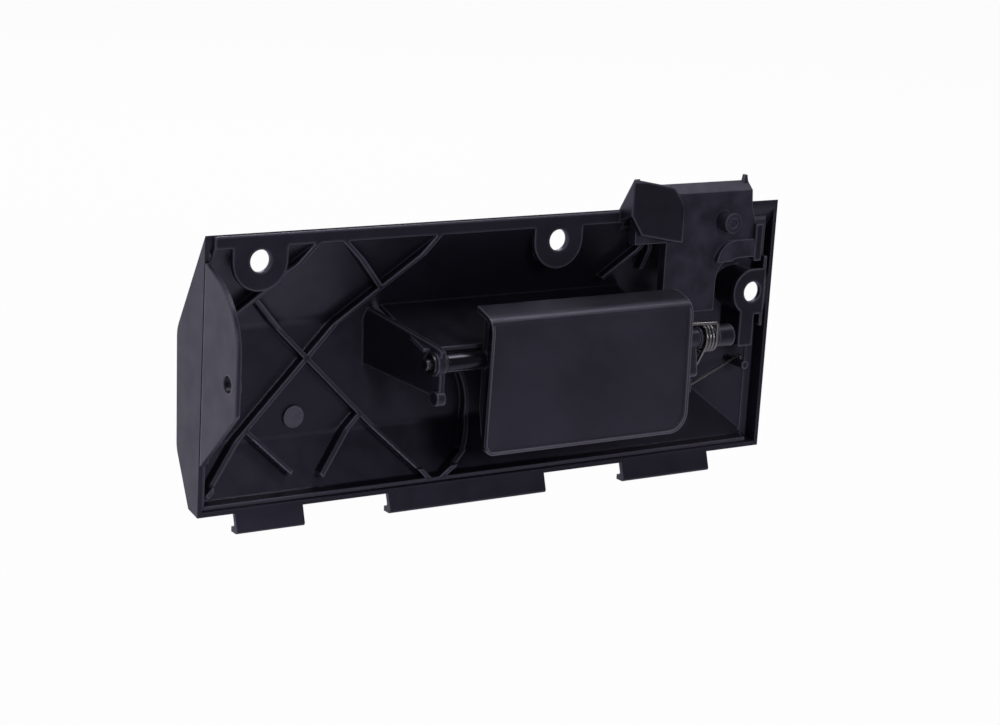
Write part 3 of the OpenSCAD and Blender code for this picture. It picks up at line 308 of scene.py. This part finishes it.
# Soft edges on the moulded pieces
def soften_edges(obj, width):
    weld = obj.modifiers.new("weld", "WELD")
    weld.merge_threshold = 1e-6
    flat = obj.modifiers.new("flat", "DECIMATE")
    flat.decimate_type = "DISSOLVE"
    flat.angle_limit = math.radians(0.6)
    bevel = obj.modifiers.new("bevel", "BEVEL")
    bevel.width = width
    bevel.segments = 2
    bevel.limit_method = "ANGLE"
    bevel.angle_limit = math.radians(32)
    bevel.use_clamp_overlap = True
    even = obj.modifiers.new("even", "WEIGHTED_NORMAL")
    even.weight = 90
    even.keep_sharp = True
    for polygon in obj.data.polygons:
        polygon.use_smooth = True


edge_widths = {
    "front_cover": 0.25 * mm,
    "carrier": 0.2 * mm,
    "paddle": 0.4 * mm,
    "latch_bolt": 0.3 * mm,
    "bolt_peg": 0.2 * mm,
    "stop_buffers": 0.3 * mm,
}
for name, width in edge_widths.items():
    soften_edges(nodes[name], width)


# Springs as smooth round wire
def wire(name, points, radius, sides=14):
    """Closed tube along a list of points."""
    count = len(points)
    verts = []
    normal = None
    for i, point in enumerate(points):
        ahead = (points[min(i + 1, count - 1)] - points[max(i - 1, 0)]).normalized()
        if normal is None:
            normal = ahead.orthogonal()
        normal = (normal - ahead * normal.dot(ahead)).normalized()
        across = ahead.cross(normal)
        for k in range(sides):
            turn = 2 * math.pi * k / sides
            verts.append(point + radius * (math.cos(turn) * normal + math.sin(turn) * across))
    faces = [list(range(sides))[::-1], [(count - 1) * sides + k for k in range(sides)]]
    for i in range(count - 1):
        for k in range(sides):
            following = (k + 1) % sides
            low, high = i * sides, (i + 1) * sides
            faces.append([low + k, low + following, high + following, high + k])
    mesh = bpy.data.meshes.new(name)
    mesh.from_pydata(verts, [], faces)
    mesh.polygons.foreach_set("use_smooth", [len(face) == 4 for face in faces])
    mesh.update()
    obj = bpy.data.objects.new(name, mesh)
    bpy.context.scene.collection.objects.link(obj)
    return obj


def rounded(points, radius, steps=6):
    """Path with a curve at each inner corner, which takes up less than half of a stretch."""
    most = 0.45
    path = [points[0]]
    for before, corner, after in zip(points, points[1:], points[2:]):
        back, on = before - corner, after - corner
        reach = min(radius, back.length * most, on.length * most)
        start, end = corner + back.normalized() * reach, corner + on.normalized() * reach
        for i in range(steps + 1):
            t = i / steps
            path.append((1 - t) ** 2 * start + 2 * t * (1 - t) * corner + t ** 2 * end)
    path.append(points[-1])
    return path


def turns(angle):
    return angle / (2 * math.pi)


# Torsion spring: a fixed leg from its post over a knee, the coil on its sleeve, a moving leg to the paddle
turn_steps = 40
wire_r = 0.6 * mm
coil_gap = 0.35 * mm
coil_turns = 3
coil_pitch = 1.45 * mm
knee_front = 5.6 * mm
knee_drop = 20.7 * mm
knee_left = 1 * mm
anchor_drop = 15.1 * mm
hook_len = 2.4 * mm
grip_back = 3.4 * mm
grip_up = 6.3 * mm
grip_run = 3.3 * mm
fixed_bend_r = 1.6 * mm
moving_bend_r = 1.2 * mm
sleeve_low, sleeve_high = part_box("spring_sleeve")
spring_low, spring_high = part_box("return_spring")
coil_r = (sleeve_high.z - sleeve_low.z) / 2 + coil_gap + wire_r
start_turn = math.atan2(-knee_drop, knee_front) - math.acos(coil_r / math.hypot(knee_front, knee_drop))
sweep = 2 * math.pi * coil_turns + start_turn + math.pi
coil_x = sleeve_high.x - coil_gap - wire_r - coil_pitch * turns(sweep)
coil_steps = int(turn_steps * turns(sweep))
coil = []
for i in range(coil_steps + 1):
    turned = sweep * i / coil_steps
    coil.append(Vector((
        coil_x + coil_pitch * turns(turned),
        hinge.y + coil_r * math.cos(start_turn - turned),
        hinge.z + coil_r * math.sin(start_turn - turned),
    )))
anchor = Vector((spring_high.x - wire_r, spring_high.y - wire_r, hinge.z - anchor_drop))
hook_end = anchor - Vector((0, 0, hook_len))
knee = Vector((coil_x - knee_left, hinge.y + knee_front, hinge.z - knee_drop))
grip_end = Vector((spring_low.x, hinge.y - grip_back, hinge.z + grip_up))
grip_bend = grip_end + Vector((grip_run, 0, 0))
grip_rise = coil[-1] + Vector((0, 0, grip_up))
fixed_leg = rounded([hook_end, anchor, knee, coil[0]], fixed_bend_r)
moving_leg = rounded([coil[-1], grip_rise, grip_bend, grip_end], moving_bend_r)
return_wire = wire("return_wire", fixed_leg[:-1] + coil + moving_leg[1:], wire_r)
dress(return_wire, "spring_steel")
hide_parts("return_spring")
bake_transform(return_wire)

# Compression spring under the bolt
lift_low, lift_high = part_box("bolt_spring")
lift_wire_r = 0.45 * mm
lift_turns = 5
lift_r = (lift_high.x - lift_low.x) / 2 - lift_wire_r
lift_middle = (lift_low + lift_high) / 2
lift_length = lift_high.z - lift_low.z
lift_steps = lift_turns * turn_steps
lift = []
for i in range(lift_steps + 1):
    turn = 2 * math.pi * i / turn_steps
    lift.append(Vector((
        lift_middle.x + lift_r * math.cos(turn),
        lift_middle.y + lift_r * math.sin(turn),
        lift_low.z + lift_wire_r + (lift_length - 2 * lift_wire_r) * i / lift_steps,
    )))
lift_wire = wire("lift_wire", lift, lift_wire_r, sides=10)
dress(lift_wire, "spring_steel")
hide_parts("bolt_spring")
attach(lift_wire, "frame")
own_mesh(lift_wire)

# Studio: white to the camera, and in reflections a cooler white that fades towards the viewer's side
towards_white = (-0.7, 1, 0)
dim_strength = 0.12
plain_white = (1, 1, 1, 1)
cool_white = (0.9, 0.87, 1, 1)


def studio_white(tree, glow, place, dim_at, white_at):
    """Gives a glow the white of the studio at a place or in a direction."""
    rays = tree.nodes.new("ShaderNodeLightPath")
    across = tree.nodes.new("ShaderNodeVectorMath")
    across.operation = "DOT_PRODUCT"
    across.inputs[1].default_value = towards_white
    tree.links.new(place, across.inputs[0])
    fade = map_range(tree, across.outputs["Value"], dim_at, white_at, dim_strength, 1.0)
    strength = calculate(tree, "MAXIMUM", rays.outputs["Is Camera Ray"], fade)
    colour = mix_colour(tree, rays.outputs["Is Camera Ray"], cool_white, plain_white)
    tree.links.new(colour, glow.inputs["Color"])
    tree.links.new(strength, glow.inputs["Strength"])


def show_glow(tree, share, lit, glow, output):
    """Shows a share of the glow to the camera and to reflections, and the lit shader otherwise."""
    rays = tree.nodes.new("ShaderNodeLightPath")
    either = calculate(tree, "MAXIMUM", rays.outputs["Is Camera Ray"], rays.outputs["Is Glossy Ray"])
    mix = tree.nodes.new("ShaderNodeMixShader")
    tree.links.new(calculate(tree, "MULTIPLY", either, share), mix.inputs["Fac"])
    tree.links.new(lit.outputs[0], mix.inputs[1])
    tree.links.new(glow.outputs[0], mix.inputs[2])
    tree.links.new(mix.outputs[0], tree.nodes[output].inputs["Surface"])


# Floor, which keeps a share of the object's shadow
floor_drop = 60 * mm
floor_size = 8
floor_glow_share = 0.96
bpy.ops.mesh.primitive_plane_add(size=floor_size, location=(0, 0, cad_box[0].z - floor_drop))
floor = bpy.context.object
floor.name = "floor"
paper, paper_tree, paper_shader = new_material("paper")
paper_shader.inputs["Base Color"].default_value = (0.9, 0.9, 0.9, 1)
paper_shader.inputs["Roughness"].default_value = 0.9
paper_place = paper_tree.nodes.new("ShaderNodeTexCoord").outputs["Object"]
paper_glow = paper_tree.nodes.new("ShaderNodeEmission")
studio_white(paper_tree, paper_glow, paper_place, dim_at=-0.7, white_at=0.15)
show_glow(paper_tree, floor_glow_share, paper_shader, paper_glow, "Material Output")
floor.data.materials.append(paper)

# Surroundings, with a dim even light for all other rays
world = bpy.data.worlds.new("studio")
bpy.context.scene.world = world
world.use_nodes = True
world_tree = world.node_tree
around = world_tree.nodes["Background"]
around.inputs["Color"].default_value = (0.9, 0.9, 1, 1)
around.inputs["Strength"].default_value = 0.3
sky_place = world_tree.nodes.new("ShaderNodeTexCoord").outputs["Generated"]
backdrop = world_tree.nodes.new("ShaderNodeBackground")
studio_white(world_tree, backdrop, sky_place, dim_at=-0.7, white_at=0.6)
show_glow(world_tree, 1.0, around, backdrop, "World Output")


# Lamps, placed from the middle of the rim and turned towards it
def soft_lamp(name, place, size, power, colour):
    light = bpy.data.lights.new(name, "AREA")
    light.shape = "DISK"
    light.size = size
    light.energy = power
    light.color = colour
    lamp = bpy.data.objects.new(name, light)
    lamp.location = rim_middle + Vector(place)
    lamp.rotation_mode = "QUATERNION"
    lamp.rotation_quaternion = Vector(place).to_track_quat("Z", "Y")
    bpy.context.scene.collection.objects.link(lamp)


white_light = (1, 1, 1)
cool_light = (0.93, 0.9, 1)
soft_lamp("key", place=(-1.3, 0.05, 0.3), size=0.5, power=1, colour=cool_light)
soft_lamp("top", place=(0.6, -0.3, 1.2), size=0.5, power=4, colour=white_light)
soft_lamp("viewer", place=(0.0, -1.5, 0.5), size=0.4, power=7, colour=cool_light)
soft_lamp("trim_side", place=(0.5, 1.3, 0.8), size=0.6, power=6, colour=cool_light)

# Camera at the photograph's angle
view_azimuth = math.radians(-33.75)
view_elevation = math.radians(14.05)
view_roll = math.radians(3.4)
view_distance = 871.83 * mm
focal_px = 2449.2
frame_px = 1000
sensor_width = 36
aim = rim_middle + Vector((-2.96, 0.74, -4.18)) * mm
back = Vector((
    math.sin(view_azimuth) * math.cos(view_elevation),
    -math.cos(view_azimuth) * math.cos(view_elevation),
    math.sin(view_elevation),
))
level = Vector((math.cos(view_azimuth), math.sin(view_azimuth), 0))
upright = back.cross(level)
right = math.cos(view_roll) * level + math.sin(view_roll) * upright
up = -math.sin(view_roll) * level + math.cos(view_roll) * upright
camera_data = bpy.data.cameras.new("camera")
camera_data.sensor_width = sensor_width
camera_data.lens = sensor_width * focal_px / frame_px
camera_data.clip_start = 10 * mm
camera = bpy.data.objects.new("camera", camera_data)
view_turn = Matrix((right, up, back)).transposed().to_4x4()
camera.matrix_world = Matrix.Translation(aim + back * view_distance) @ view_turn
bpy.context.scene.collection.objects.link(camera)
bpy.context.scene.camera = camera
bpy.context.scene.view_settings.view_transform = "Standard"
